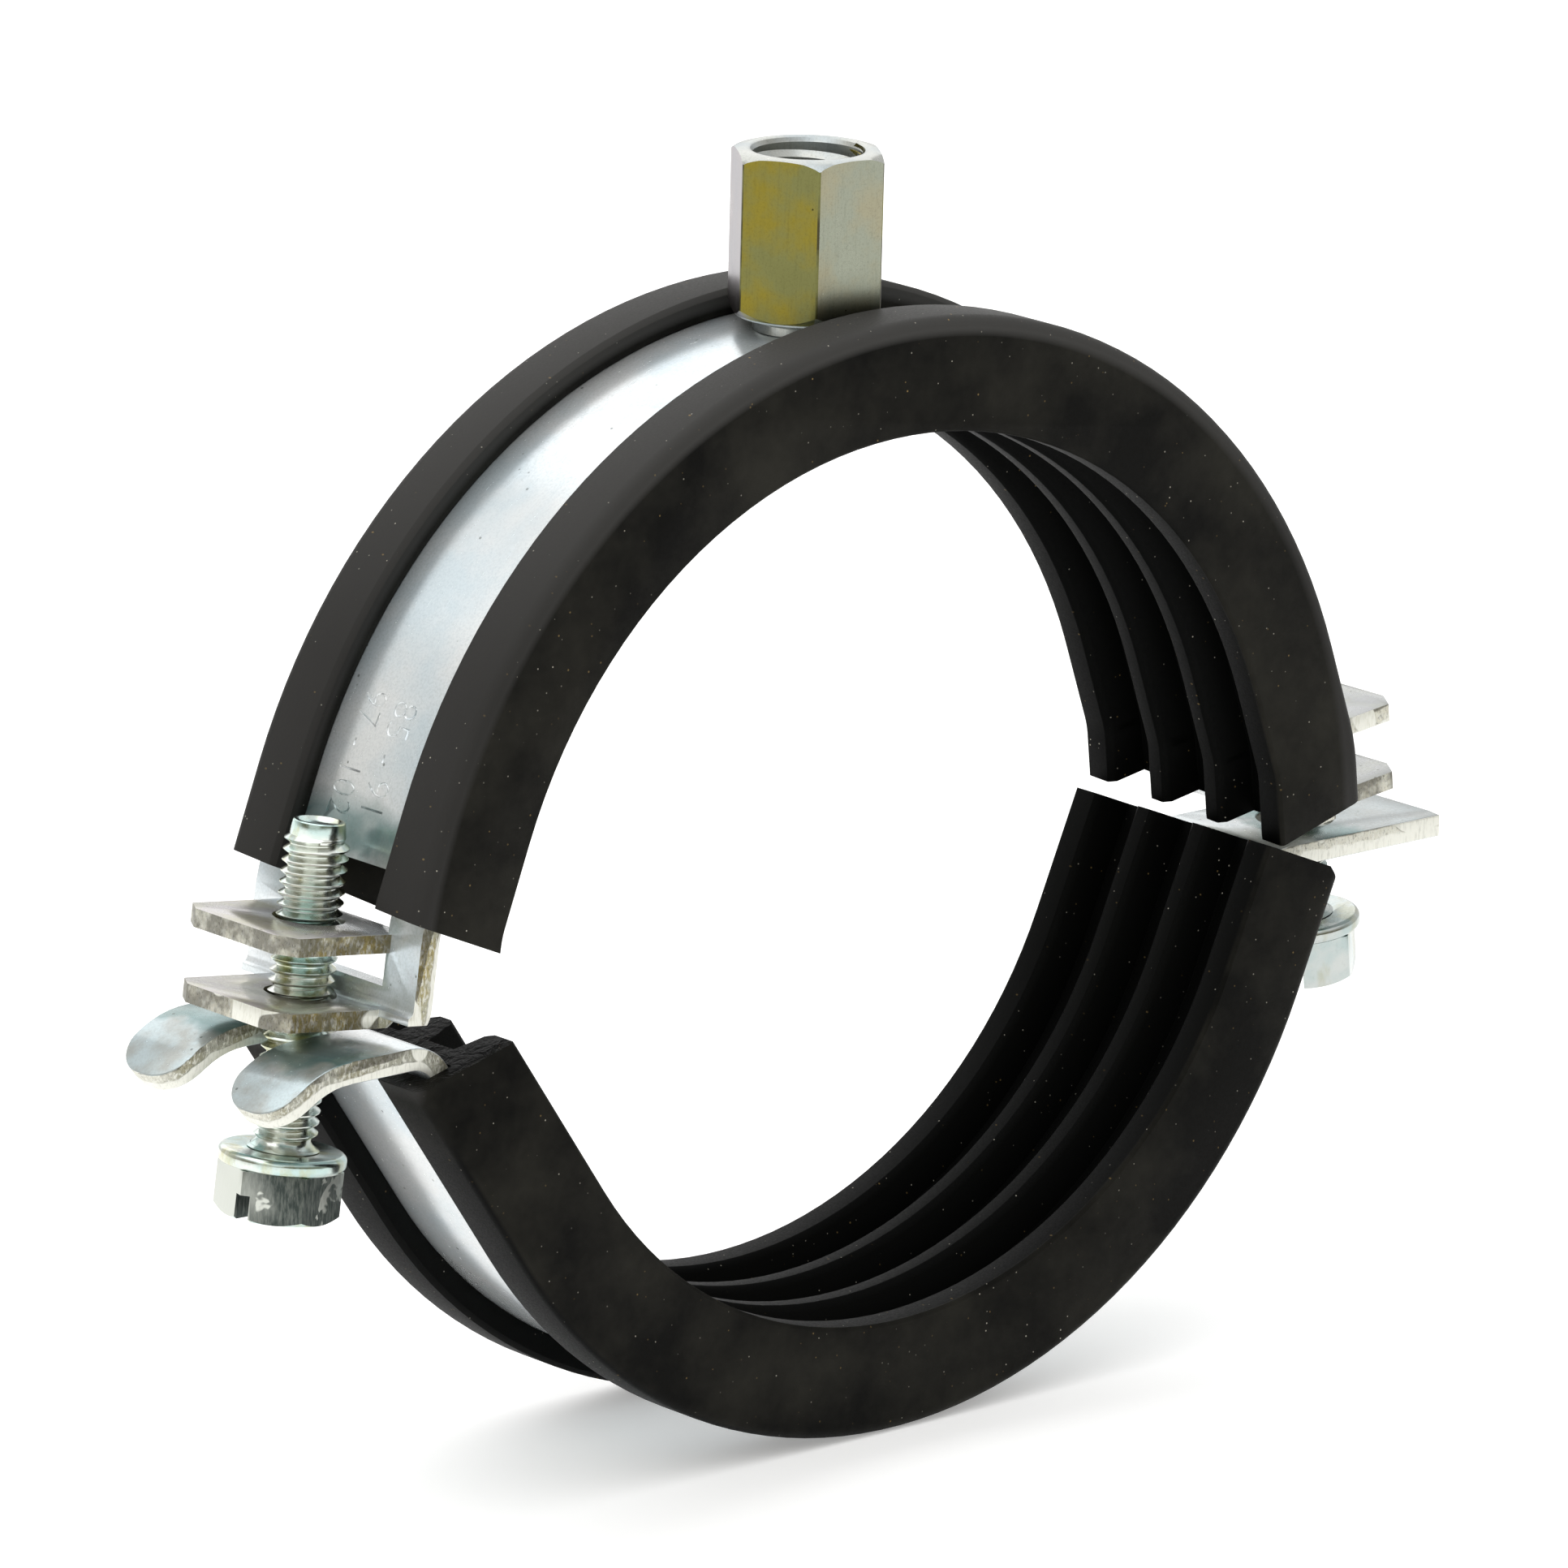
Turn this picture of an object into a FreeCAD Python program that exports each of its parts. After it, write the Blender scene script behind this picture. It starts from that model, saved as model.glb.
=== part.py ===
import FreeCAD, Part
import math
import os

# Rubber lined pipe clamp, two half rings on two lean screws, connection nut on top.
# All lengths are millimetres. The pipe runs along Y, Z is up, the nut sits at the top.
# The origin is the centre of the upper half's seat circle, where the pipe is held.

os.makedirs("parts", exist_ok=True)
V = FreeCAD.Vector

# Strap and lining, shared by both halves
band_t = 2.1            # thickness of the steel strap
band_w = 23.4           # width of the strap along the pipe
lining_gap = 0.05       # clearance between rubber and strap, all round
lining_side = 1.7       # rubber beside the edge of the strap
web_t = 2.4             # rubber between strap and the foot of the ribs
rib_h = 3.6             # height of the ribs that press on the pipe
rib_foot = 4.1          # width of a rib at its foot
rib_tip = 2.9           # width of a rib at its tip
lip_h = 2.5             # how far the folded lips stand above the strap
lip_open = 14.2         # clear width of strap between the two lips
lip_round = 1.2         # rounding of the outer lip corner

# Upper half
upper_seat_r = 47.5     # radius over the rib tips
upper_start = 20.0      # angle above level where the strap leaves the circle
# cut ends of the lining: outside the seat circle, height, slope of the cut
upper_cut_left = (0.9, 6.9, 23.0)
upper_cut_right = (3.1, 1.8, 16.5)
upper_cut_skew = 3.0    # the upper ends are cut a little out of square, higher at the back

# Lower half, hanging slightly open on the left as photographed
lower_tighter = 3.3     # the lower half is formed this much tighter
lower_x = 1.3
lower_z = 7.6
lower_start_left = 35.0
lower_start_right = 23.0
lower_cut_left = (2.2, -1.8, -15.0)
lower_cut_right = (2.9, 1.5, -22.0)
lower_nip_right = (10.4, -1.1, -55.0)   # its outer corner is snipped off, clear of the flat ear

# Screw ears, the right one a little higher and further out than the left one
ear_lean = 7.0          # lean of the screws, tips toward the ring
ear_out_left = 11.6     # seat circle to the screw axis, at the top of the upper ear plate
ear_out_right = 14.1
ear_z_left = 8.9        # height of the upper plate's top face at the screw axis
ear_z_right = 10.3
ear_wall_left = 3.35    # from screw axis to the outer face of the ear wall
ear_wall_right = 5.9
ear_reach_left = 8.6    # from screw axis to the outer edge of an ear plate
ear_reach_right = 7.5
ear_plate_t = 1.7       # the plates are pressed thinner than the strap
ear_pitch = 6.85        # distance between the two ear plates along the screw
ear_half = 7.6          # half width of an ear plate
ear_corner_u = 1.4      # corner cut, measured outward
ear_corner_y = 2.15     # corner cut, measured along the pipe
wall_short = 1.1        # beside the plates the strap ends this much higher than their lower face
ear_bend_r = 0.8        # inner bend radius of the sheet
kink_r = 14.0           # bend where the strap turns into the ear wall
window_in = 0.5         # the window behind the tongue is this much narrower on each side
window_above = 5.3      # window height above the upper plate
window_below = 2.7      # window height below the upper plate
ear_hole_gap = 0.3      # clearance round the screw in the ear plates

# Ends of the lower half, measured outward from the screw axis
fork_top_z = -1.0       # top of the fork arch
fork_drop_out = 8.2     # where the prongs turn down
fork_tip_out = 13.0
fork_tip_z = -5.0
fork_root_r = 5.0
fork_drop_r = 10.5
fork_slot_gap = 0.3     # clearance of the slot on each side of the screw
fork_slot_in = 2.9      # closed end of the slot, inward from the screw axis
fork_tip_flat = 1.2     # straight stretch left between the two roundings of a prong tip
flat_top_z = -1.1       # top face of the flat ear
flat_reach_out = 14.0   # outer edge of the flat ear
flat_corner_u = 0.4
flat_corner_y = 1.9
flat_hole_out = 1.5     # centre of the clearance hole in the flat ear
flat_hole_gap = 0.7
flat_bend_r = 2.0
flat_shoulder = 1.5     # the strap keeps its full width this far past the bend's corner

# Machine screws with collar, hexagon and slot
screw_r = 3.0
screw_len = 30.0
screw_tip_cut = 0.8     # chamfer at the tip
collar_r = 5.85
collar_h = 1.5
collar_round = 0.6
hex_af = 9.9            # across flats
hex_h = 4.6
hex_round = 0.6
slot_w = 1.5
slot_d = 2.4
left_tip_above = 8.9    # tip above the upper plate, left screw
right_tip_above = 8.9
left_head_turn = 14.0   # how far each head happens to be turned
right_head_turn = 40.0

# Connection nut
nut_af = 13.0
nut_x = -1.8            # the nut sits this far off the middle, toward the fork
nut_rise = 16.45        # top of the nut above the crown of the strap
nut_turn = -3.0
nut_thread_r = 4.25     # core radius of the M10 thread
nut_mouth_r = 5.4       # countersink radius at the top
nut_face_r = 6.25       # radius of the flat top ring
nut_chamfer = 30.0      # slope of the corner chamfer
nut_weld_gap = 0.02
nut_floor = 0.6         # metal left under the thread
nut_to_lip = 0.2        # clearance between the nut and the lips cut away round it
nut_sunk = 1.0          # the blank reaches this deep before its saddle is cut

# Clearances and the overrun of cutting blocks
notch_gap = 0.4         # lips of the lining to the edges of an ear plate
passage_gap = 0.3       # lining round the strap where its ends bend out
passage_down = 7.0      # how far below the fork the lining is relieved
over = 3.0              # how far cutting blocks run past the faces that they cut

# Values that follow from the ones above
lining_w = band_w + 2 * (lining_gap + lining_side)
lining_all = rib_h + web_t + lining_gap
rib_pitch = (lining_w - rib_foot) / 3   # four ribs, the outer two flush with the sides
lower_seat_r = upper_seat_r - lower_tighter
upper_r = upper_seat_r + lining_all
lower_r = lower_seat_r + lining_all
ear_x = {-1: upper_seat_r + ear_out_left, 1: upper_seat_r + ear_out_right}
ear_z = {-1: ear_z_left, 1: ear_z_right}
ear_wall = {-1: ear_wall_left, 1: ear_wall_right}
ear_reach = {-1: ear_reach_left, 1: ear_reach_right}
window_half = ear_half - window_in
nut_top = upper_r + band_t + nut_rise
fork_drop_x = -ear_x[-1] - fork_drop_out
fork_tip_x = -ear_x[-1] - fork_tip_out
fork_slot_half = screw_r + fork_slot_gap
fork_slot_mid = -ear_x[-1] + fork_slot_in - fork_slot_half
flat_hole_x = ear_x[1] + flat_hole_out
flat_reach_x = ear_x[1] + flat_reach_out
prong_w = band_w / 2 - fork_slot_half
fork_tip_r = (prong_w - fork_tip_flat) / 2
lean = math.radians(ear_lean)
far = 2 * upper_r       # beyond the whole clamp from its centre


def unit(x, z):
    n = math.hypot(x, z)
    return (x / n, z / n)


def cross_point(p, d, q, e):
    """Where two lines in the XZ plane meet: point p along d, point q along e."""
    k = d[0] * e[1] - d[1] * e[0]
    s = ((q[0] - p[0]) * e[1] - (q[1] - p[1]) * e[0]) / k
    return (p[0] + d[0] * s, p[1] + d[1] * s)


def path_edges(pts, radii, shift):
    """Edges of a rounded path, moved sideways to its left by shift."""
    n = len(pts)
    dirs = [unit(pts[i + 1][0] - pts[i][0], pts[i + 1][1] - pts[i][1]) for i in range(n - 1)]
    left = [(-d[1], d[0]) for d in dirs]
    moved = [(pts[0][0] + left[0][0] * shift, pts[0][1] + left[0][1] * shift)]
    for i in range(1, n - 1):
        a = left[i - 1]
        b = left[i]
        k = shift / (1.0 + a[0] * b[0] + a[1] * b[1])
        moved.append((pts[i][0] + (a[0] + b[0]) * k, pts[i][1] + (a[1] + b[1]) * k))
    moved.append((pts[-1][0] + left[-1][0] * shift, pts[-1][1] + left[-1][1] * shift))
    edges = []
    here = moved[0]
    for i in range(1, n - 1):
        d = dirs[i - 1]
        e = dirs[i]
        turn = d[0] * e[1] - d[1] * e[0]
        angle = math.acos(max(-1.0, min(1.0, d[0] * e[0] + d[1] * e[1])))
        r = radii[i - 1] - shift * (1.0 if turn > 0 else -1.0)
        back = r * math.tan(angle / 2)
        p = moved[i]
        a = (p[0] - d[0] * back, p[1] - d[1] * back)
        b = (p[0] + e[0] * back, p[1] + e[1] * back)
        bis = unit(e[0] - d[0], e[1] - d[1])
        centre = (p[0] + bis[0] * r / math.cos(angle / 2), p[1] + bis[1] * r / math.cos(angle / 2))
        mid = (centre[0] - bis[0] * r, centre[1] - bis[1] * r)
        edges.append(Part.makeLine(V(here[0], 0, here[1]), V(a[0], 0, a[1])))
        edges.append(Part.Arc(V(a[0], 0, a[1]), V(mid[0], 0, mid[1]), V(b[0], 0, b[1])).toShape())
        here = b
    edges.append(Part.makeLine(V(here[0], 0, here[1]), V(moved[-1][0], 0, moved[-1][1])))
    return edges, moved[0], moved[-1]


def sheet(pts, radii, width):
    """A bent strip of strap: the path is its ring side, the thickness goes to the left."""
    near, a0, a1 = path_edges(pts, radii, 0.0)
    far, b0, b1 = path_edges(pts, radii, band_t)
    cap0 = Part.makeLine(V(a0[0], 0, a0[1]), V(b0[0], 0, b0[1]))
    cap1 = Part.makeLine(V(a1[0], 0, a1[1]), V(b1[0], 0, b1[1]))
    wire = Part.Wire(Part.__sortEdges__(near + far + [cap0, cap1]))
    solid = Part.Face(wire).extrude(V(0, width, 0))
    solid.translate(V(0, -width / 2, 0))
    return solid


def prism_xz(pts, y0, y1):
    """A block drawn in the XZ plane and running from y0 to y1."""
    loop = [V(p[0], y0, p[1]) for p in pts]
    return Part.Face(Part.makePolygon(loop + [loop[0]])).extrude(V(0, y1 - y0, 0))


# Ear frame: u runs outward, s runs up along the screw, both from the ear origin
def ear_point(side, u, s):
    x = ear_x[side] + u * math.cos(lean) - s * math.sin(lean)
    z = ear_z[side] + u * math.sin(lean) + s * math.cos(lean)
    return (side * x, z)


def ear_axis(side):
    return V(-side * math.sin(lean), 0, math.cos(lean))


def ear_block(side, u0, u1, s0, s1, half):
    """A box in the ear frame, half wide each way along the pipe."""
    corners = [ear_point(side, u0, s0), ear_point(side, u1, s0)]
    corners += [ear_point(side, u1, s1), ear_point(side, u0, s1)]
    return prism_xz(corners, -half, half)


def ear_plan(side, u0, u1, s0, s1):
    """A plate in the ear frame with its two outer corners cut."""
    c = u1 - ear_corner_u
    d = ear_half - ear_corner_y
    plan = [(u0, -ear_half), (c, -ear_half), (u1, -d), (u1, d), (c, ear_half), (u0, ear_half)]
    loop = []
    for u, y in plan:
        x, z = ear_point(side, u, s0)
        loop.append(V(x, y, z))
    face = Part.Face(Part.makePolygon(loop + [loop[0]]))
    return face.extrude(ear_axis(side) * (s1 - s0))


def screw_bore(side, radius, s0, s1):
    x, z = ear_point(side, 0, s0)
    return Part.makeCylinder(radius, s1 - s0, V(x, 0, z), ear_axis(side))


# Paths of the two straps along their ring side
def tangent(cx, cz, r, angle, side, up):
    """Point and direction of a tangent: angle from level, up or down from the centre."""
    a = math.radians(angle)
    p = (cx + side * r * math.cos(a), cz + up * r * math.sin(a))
    d = (side * math.sin(a), -up * math.cos(a))
    return p, d


def upper_path(r, inset):
    """The upper strap from the left ear plate over the top to the right one."""
    half = []
    for side in (-1, 1):
        p, d = tangent(0, 0, r, upper_start, side, 1)
        wall = ear_point(side, -ear_wall[side] - band_t - inset, 0)
        down = unit(*(ear_point(side, 0, -1)[i] - ear_point(side, 0, 0)[i] for i in (0, 1)))
        kink = cross_point(p, d, wall, down)
        corner = ear_point(side, -ear_wall[side] - band_t - inset, -ear_pitch - band_t)
        half.append((kink, corner))
    apex = (0, r / math.sin(math.radians(upper_start)))
    return half, apex


wall_ends, apex = upper_path(upper_r, 0.0)
outer_left = ear_point(-1, ear_reach[-1], -ear_pitch - band_t)
outer_right = ear_point(1, ear_reach[1], -ear_pitch - band_t)
upper_pts = [outer_left, wall_ends[0][1], wall_ends[0][0], apex]
upper_pts += [wall_ends[1][0], wall_ends[1][1], outer_right]
bend = ear_bend_r + band_t
upper_radii = [bend, kink_r, upper_r, kink_r, bend]

low_l, low_l_dir = tangent(lower_x, lower_z, lower_r, lower_start_left, -1, -1)
low_r, low_r_dir = tangent(lower_x, lower_z, lower_r, lower_start_right, 1, -1)
low_apex = cross_point(low_l, low_l_dir, low_r, low_r_dir)
fork_root = cross_point(low_l, low_l_dir, (0, fork_top_z), (1, 0))
flat_root = cross_point(low_r, low_r_dir, (0, flat_top_z), (1, 0))
fork_tip = (fork_tip_x, fork_tip_z)
lower_pts = [(flat_reach_x, flat_top_z), flat_root, low_apex]
lower_pts += [fork_root, (fork_drop_x, fork_top_z), fork_tip]
lower_radii = [flat_bend_r + band_t, lower_r, fork_root_r, fork_drop_r]


# Upper band: one strap, bent down both sides, with a screw ear at each end
band = sheet(upper_pts, upper_radii, band_w)
# keep the full width on the ring side of each ear wall, the plate shape beyond it
edge = {-1: 0.5 - ear_wall[-1], 1: 0.5 - ear_wall[1]}
ear_foot = -ear_pitch - band_t
inner_side = [ear_point(-1, edge[-1], ear_foot - over), ear_point(-1, edge[-1], far)]
inner_side += [ear_point(1, edge[1], far), ear_point(1, edge[1], ear_foot - over)]
keep = prism_xz(inner_side, -band_w, band_w)
for side in (-1, 1):
    root = -ear_wall[side] - band_t
    keep = keep.fuse(ear_plan(side, root - over, ear_reach[side], ear_foot - over, over))
band = band.common(keep)
for side in (-1, 1):
    root = -ear_wall[side] - band_t
    band = band.cut(ear_block(side, root - over, band_t + root + over,
                              -band_t - window_below, window_above, window_half))
for side in (-1, 1):
    # the upper plate is a tongue pressed out of the strap, its root fills the window
    band = band.fuse(ear_plan(side, -ear_wall[side] - band_t, ear_reach[side], -ear_plate_t, 0))
band = band.removeSplitter()
low_face = -ear_pitch - ear_plate_t
for side in (-1, 1):
    # the lower plate is as thin as the upper one, and the strap's corners end above it
    root = -ear_wall[side] - band_t
    band = band.cut(ear_block(side, root - over, ear_reach[side] + over, ear_foot - over, low_face, band_w))
    corners = ear_block(side, root - over, over, ear_foot - over, low_face + wall_short, band_w)
    band = band.cut(corners.cut(ear_block(side, root - 2 * over, 2 * over, ear_foot - 2 * over, over, ear_half)))
for side in (-1, 1):
    band = band.cut(screw_bore(side, screw_r + ear_hole_gap, ear_foot - over, over))
upper_band = band

# Connection nut: hexagon welded on the crown of the upper band
nut_side = nut_af / math.sqrt(3)
nut_base = upper_r + band_t - nut_sunk
loop = []
for i in range(6):
    a = math.radians(60 * i + nut_turn)
    loop.append(V(nut_x + nut_side * math.cos(a), nut_side * math.sin(a), nut_base))
nut = Part.Face(Part.makePolygon(loop + [loop[0]])).extrude(V(0, 0, nut_top - nut_base))
drop = (nut_side + 1 - nut_face_r) * math.tan(math.radians(nut_chamfer))
crown = [V(0, 0, nut_base - 1), V(nut_side + 1, 0, nut_base - 1), V(nut_side + 1, 0, nut_top - drop)]
crown += [V(nut_face_r, 0, nut_top), V(0, 0, nut_top)]
crown = Part.Face(Part.makePolygon(crown + [crown[0]])).revolve(V(0, 0, 0), V(0, 0, 1), 360)
crown.translate(V(nut_x, 0, 0))
nut = nut.common(crown)
saddle_r = upper_r + band_t + nut_weld_gap
nut = nut.cut(Part.makeCylinder(saddle_r, 2 * nut_af, V(0, -nut_af, 0), V(0, 1, 0)))
bore_floor = saddle_r + nut_floor
nut = nut.cut(Part.makeCylinder(nut_thread_r, nut_top - bore_floor + 1, V(nut_x, 0, bore_floor)))
mouth = Part.makeCone(nut_thread_r, nut_mouth_r, nut_mouth_r - nut_thread_r,
                      V(nut_x, 0, nut_top - nut_mouth_r + nut_thread_r))
connection_nut = nut.cut(mouth)


# Linings: one ribbed rubber channel section, pushed over each strap
def lining_section():
    """Half profile points: n outward from the strap's ring side, y along the pipe."""
    half_w = lining_w / 2
    top = band_t + lining_gap + lip_h
    under = band_t + lining_gap
    foot = -lining_gap - web_t
    tip = foot - rib_h
    inner = lip_open / 2
    flank = band_w / 2 + lining_gap
    slope = (rib_foot - rib_tip) / 2
    outer_in = 1.5 * rib_pitch - rib_foot / 2
    pts = [(-lining_gap, 0), (-lining_gap, flank), (under, flank), (under, inner + 0.4)]
    pts += [(top - 0.5, inner), (top, inner + 0.5)]
    for k in range(7):
        a = math.radians(90 * k / 6)
        pts.append((top - lip_round * (1 - math.cos(a)), half_w - lip_round * (1 - math.sin(a))))
    pts += [(tip + 0.3, half_w), (tip, half_w - 0.3)]
    pts += [(tip, outer_in + slope + 0.7), (tip + 0.6, outer_in + slope), (foot, outer_in)]
    near = 0.5 * rib_pitch + rib_foot / 2
    far = 0.5 * rib_pitch - rib_foot / 2
    pts += [(foot, near), (tip + 0.6, near - slope), (tip, near - slope - 0.7)]
    pts += [(tip, far + slope + 0.7), (tip + 0.6, far + slope), (foot, far), (foot, 0)]
    return pts


def run_section(spine, start, direction):
    """Sweep the lining section along a spine in the XZ plane."""
    out = (-direction[1], direction[0])
    half = lining_section()
    ring = half + [(n, -y) for n, y in reversed(half[1:-1])]
    loop = [V(start[0] + out[0] * n, y, start[1] + out[1] * n) for n, y in ring]
    profile = Part.makePolygon(loop + [loop[0]])
    return Part.Wire(spine).makePipeShell([profile], True, False)


def end_cut(cut, seat_r, side, above, skew):
    """A block beyond the cut end of a lining, placed from the seat circle."""
    x = side * (seat_r + cut[0])
    z = cut[1]
    a = math.radians(cut[2])
    d = (side * math.cos(a), math.sin(a))
    n = (0, far if above else -far)
    back = far / 5
    p = (x - d[0] * back, z - d[1] * back)
    q = (x + d[0] * 2 * back, z + d[1] * 2 * back)
    block = prism_xz([p, q, (q[0] + n[0], q[1] + n[1]), (p[0] + n[0], p[1] + n[1])], -lining_w, lining_w)
    block.rotate(V(x, -lining_w / 2, z), V(1, 0, 0), skew)
    return block


def reach(p, q, far):
    """The point beyond q on the line from p, far away from q."""
    d = unit(q[0] - p[0], q[1] - p[1])
    return (q[0] + d[0] * far, q[1] + d[1] * far)


# upper lining: follows the strap down both sides, shorter on the left
kink_l = wall_ends[0][0]
kink_r_pt = wall_ends[1][0]
spine_pts = [reach(kink_l, wall_ends[0][1], over), kink_l, apex]
spine_pts += [kink_r_pt, reach(kink_r_pt, wall_ends[1][1], over)]
spine, first, last = path_edges(spine_pts, [kink_r, upper_r, kink_r], 0.0)
first_dir = unit(kink_l[0] - first[0], kink_l[1] - first[1])
upper_lining = run_section(spine, first, first_dir)
upper_lining = upper_lining.cut(end_cut(upper_cut_left, upper_seat_r, -1, False, upper_cut_skew))
upper_lining = upper_lining.cut(end_cut(upper_cut_right, upper_seat_r, 1, False, upper_cut_skew))
# the lips step back where they pass the ears, and the web is relieved behind the tongue roots
notch_half = ear_half + notch_gap
for side in (-1, 1):
    upper_lining = upper_lining.cut(ear_block(side, -ear_wall[side], ear_reach[side] + over,
                                              ear_foot - 4 * over, 2.5 * notch_gap, notch_half))
    root = -ear_wall[side] - band_t
    upper_lining = upper_lining.cut(ear_block(side, root - lining_gap, 0,
                                              ear_foot - over, lining_gap + 0.45, notch_half))

# and the lips are cut away round the nut
nut_loop = []
nut_room = (nut_af / 2 + nut_to_lip) / math.cos(math.radians(30))
for i in range(6):
    a = math.radians(60 * i + nut_turn)
    nut_loop.append(V(nut_x + nut_room * math.cos(a), nut_room * math.sin(a), nut_base))
room = Part.Face(Part.makePolygon(nut_loop + [nut_loop[0]])).extrude(V(0, 0, nut_rise))
room = room.cut(Part.makeCylinder(saddle_r - nut_to_lip, 2 * nut_af, V(0, -nut_af, 0), V(0, 1, 0)))
upper_lining = upper_lining.cut(room)

# lower lining: the same section under the pipe, ends stand free of the strap
low_start = reach(low_apex, fork_root, 4 * over)
low_end = reach(low_apex, flat_root, 4 * over)
spine, first, last = path_edges([low_end, low_apex, low_start], [lower_r], 0.0)
first_dir = unit(low_apex[0] - first[0], low_apex[1] - first[1])
lower_lining = run_section(spine, first, first_dir)
lower_lining = lower_lining.cut(end_cut(lower_cut_left, lower_seat_r, -1, True, 0))
lower_lining = lower_lining.cut(end_cut(lower_cut_right, lower_seat_r, 1, True, 0))
lower_lining = lower_lining.cut(end_cut(lower_nip_right, lower_seat_r, 1, True, 0))

# Lower band: the fork on the left, the flat ear on the right
band = sheet(lower_pts, lower_radii, band_w)
flat_edge = flat_root[0] + flat_shoulder
c = flat_reach_x - flat_corner_u
d = ear_half - flat_corner_y
left = fork_tip_x - over
plan = [(left, -band_w), (flat_edge, -band_w), (flat_edge, -ear_half), (c, -ear_half)]
plan += [(flat_reach_x, -d), (flat_reach_x, d), (c, ear_half)]
plan += [(flat_edge, ear_half), (flat_edge, band_w), (left, band_w)]
loop = [V(x, y, -far) for x, y in plan]
keep = Part.Face(Part.makePolygon(loop + [loop[0]])).extrude(V(0, 0, 2 * far))
band = band.common(keep)
slot_low = fork_tip_z - band_t - over
slot_tall = fork_top_z + over - slot_low
slot = Part.makeBox(fork_slot_mid - left, 2 * fork_slot_half, slot_tall, V(left, -fork_slot_half, slot_low))
slot = slot.fuse(Part.makeCylinder(fork_slot_half, slot_tall, V(fork_slot_mid, 0, slot_low)))
band = band.cut(slot)
hole_low = flat_top_z - band_t - over
hole = Part.makeCylinder(screw_r + flat_hole_gap, band_t + 2 * over, V(flat_hole_x, 0, hole_low))
band = band.cut(hole)
# round the corners of the prong tips, square to their slope
slope = unit(fork_tip_x - fork_drop_x, fork_tip_z - fork_top_z)
up = (-slope[1] * (band_t + over), slope[0] * (band_t + over))
mid = (fork_tip_x - slope[0] * fork_tip_r, fork_tip_z - slope[1] * fork_tip_r)
out = (fork_tip_x + slope[0] * over, fork_tip_z + slope[1] * over)
outline = [(mid[0] - up[0], mid[1] - up[1]), (out[0] - up[0], out[1] - up[1])]
outline += [(out[0] + up[0], out[1] + up[1]), (mid[0] + up[0], mid[1] + up[1])]
for y, way in ((-band_w / 2, -1), (-fork_slot_half, 1), (fork_slot_half, -1), (band_w / 2, 1)):
    y_mid = y - way * fork_tip_r
    corner = prism_xz(outline, min(y_mid, y + way * over / 2), max(y_mid, y + way * over / 2))
    start = V(outline[0][0], y_mid, outline[0][1])
    along = V(up[0], 0, up[1])
    corner = corner.cut(Part.makeCylinder(fork_tip_r, 2 * along.Length, start, along))
    band = band.cut(corner)
lower_band = band

# clear the lower lining round the strap ends: wherever the bent ends pass through it
wide = band_w / 2 + lining_gap
thick_pts, t0, t1 = path_edges(lower_pts, lower_radii, -passage_gap)
far_pts, f0, f1 = path_edges(lower_pts, lower_radii, band_t + passage_gap)
cap0 = Part.makeLine(V(t0[0], 0, t0[1]), V(f0[0], 0, f0[1]))
cap1 = Part.makeLine(V(t1[0], 0, t1[1]), V(f1[0], 0, f1[1]))
passage = Part.Face(Part.Wire(Part.__sortEdges__(thick_pts + far_pts + [cap0, cap1])))
passage = passage.extrude(V(0, 2 * wide, 0))
passage.translate(V(0, -wide, 0))
relief_z = fork_top_z - passage_down
outside = prism_xz([(-far, relief_z), (far, relief_z), (far, far), (-far, far)], -band_w, band_w)
lower_lining = lower_lining.cut(passage.common(outside))


# Screws: shank, collar, hexagon and driver slot, tip toward the ring
def machine_screw(side, tip_above, turn):
    c = screw_tip_cut
    top = [V(0, 0, 0), V(screw_r, 0, 0), V(screw_r, 0, screw_len - c)]
    top += [V(screw_r - c, 0, screw_len), V(0, 0, screw_len)]
    shank = Part.Face(Part.makePolygon(top + [top[0]])).revolve(V(0, 0, 0), V(0, 0, 1), 360)
    collar = Part.makeCylinder(collar_r, collar_h, V(0, 0, -collar_h))
    collar = collar.makeFillet(collar_round, [e for e in collar.Edges if e.Length > collar_r])
    s = hex_af / math.sqrt(3)
    pts = [V(s * math.cos(math.radians(60 * i)), s * math.sin(math.radians(60 * i)), -collar_h)
           for i in range(6)]
    head = Part.Face(Part.makePolygon(pts + [pts[0]])).extrude(V(0, 0, -hex_h))
    low = -collar_h - hex_h
    cone = [V(0, 0, low), V(hex_af / 2, 0, low), V(s + 0.1, 0, low + hex_round), V(s + 0.1, 0, 0)]
    cone += [V(0, 0, 0)]
    head = head.common(Part.Face(Part.makePolygon(cone + [cone[0]])).revolve(V(0, 0, 0), V(0, 0, 1), 360))
    slot = Part.makeBox(4 * collar_r, slot_w, slot_d + over, V(-2 * collar_r, -slot_w / 2, low - over))
    body = shank.fuse(collar.fuse(head)).removeSplitter().cut(slot)
    body.rotate(V(0, 0, 0), V(0, 0, 1), turn)
    body.rotate(V(0, 0, 0), V(0, 1, 0), -side * ear_lean)
    x, z = ear_point(side, 0, tip_above - screw_len)
    body.translate(V(x, 0, z))
    return body


closing_screw = machine_screw(-1, left_tip_above, left_head_turn)
side_screw = machine_screw(1, right_tip_above, right_head_turn)

nodes = {
    "upper_band": upper_band,
    "connection_nut": connection_nut,
    "upper_lining": upper_lining,
    "lower_band": lower_band,
    "lower_lining": lower_lining,
    "closing_screw": closing_screw,
    "side_screw": side_screw,
}
for name, shape in nodes.items():
    if shape.ShapeType == "Compound" and len(shape.Solids) == 1:
        shape = shape.Solids[0]
    shape.exportStep("parts/" + name + ".step")
    print(name, shape.ShapeType, len(shape.Solids), shape.isValid(), round(shape.Volume, 1))
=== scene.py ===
import math

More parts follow.
